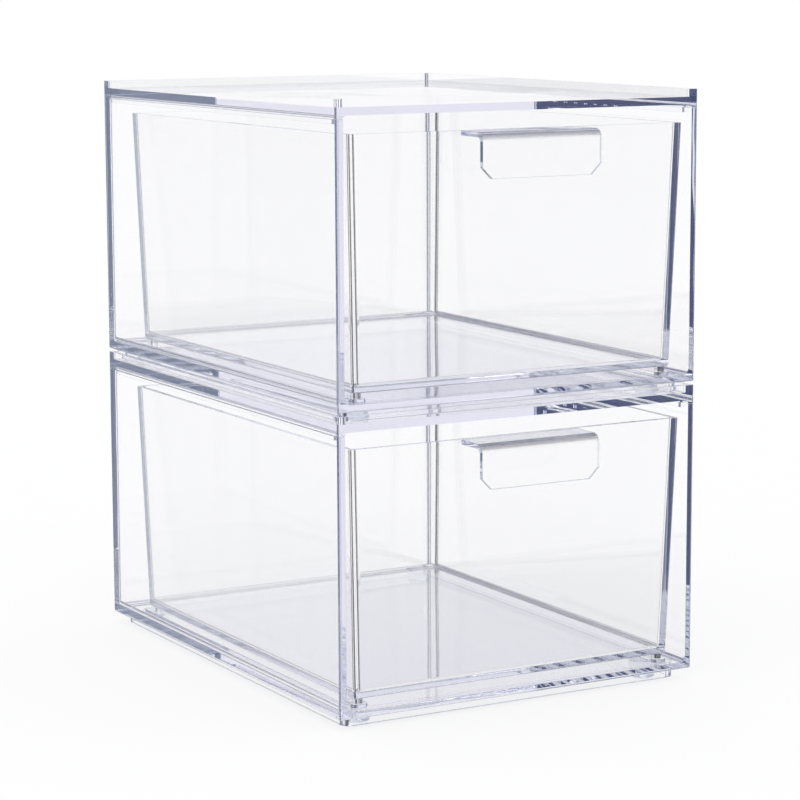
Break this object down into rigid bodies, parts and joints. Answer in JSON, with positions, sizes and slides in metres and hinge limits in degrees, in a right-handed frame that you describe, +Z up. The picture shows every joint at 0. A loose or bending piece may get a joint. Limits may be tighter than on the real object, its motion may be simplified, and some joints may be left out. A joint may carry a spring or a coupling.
{
  "type": "acrylic makeup organizer drawers",
  "caption": "Clear stackable makeup organizer: open-front cases with stacking lids, each holding a pull-out drawer tub with a bent handle tab.",
  "frame": {"origin": "standing plane under the pads, at the middle of the footprint with the handles counted in", "axes": "+Z up, front with the drawers and handles towards -Y, +X to the right seen from the front"},
  "size_m": [0.165, 0.23, 0.2432],
  "materials": {
    "case_styrene": "clear, polished mould finish",
    "drawer_styrene": "clear, polished mould finish",
    "clear_silicone": "clear, soft satin"
  },
  "bodies": {
    "lower_unit": {"lower_case": "case_styrene", "lower_lid": "case_styrene", "lower_pad_front_left": "clear_silicone", "lower_pad_front_right": "clear_silicone", "lower_pad_back_left": "clear_silicone", "lower_pad_back_right": "clear_silicone"},
    "lower_drawer": {"lower_drawer_tub": "drawer_styrene", "lower_drawer_handle": "drawer_styrene"},
    "upper_unit": {"upper_case": "case_styrene", "upper_lid": "case_styrene", "upper_pad_front_left": "clear_silicone", "upper_pad_front_right": "clear_silicone", "upper_pad_back_left": "clear_silicone", "upper_pad_back_right": "clear_silicone"},
    "upper_drawer": {"upper_drawer_tub": "drawer_styrene", "upper_drawer_handle": "drawer_styrene"}
  },
  "joints": [
    {"name": "lower_drawer_slide", "type": "slide", "parent": "lower_unit", "child": "lower_drawer", "axis": [0, -1, 0], "range_m": [0, 0.18]},
    {"name": "upper_unit_lift", "type": "slide", "parent": "lower_unit", "child": "upper_unit", "axis": [0, 0, 1], "range_m": [0, 0.06]},
    {"name": "upper_drawer_slide", "type": "slide", "parent": "upper_unit", "child": "upper_drawer", "axis": [0, -1, 0], "range_m": [0, 0.18]}
  ]
}
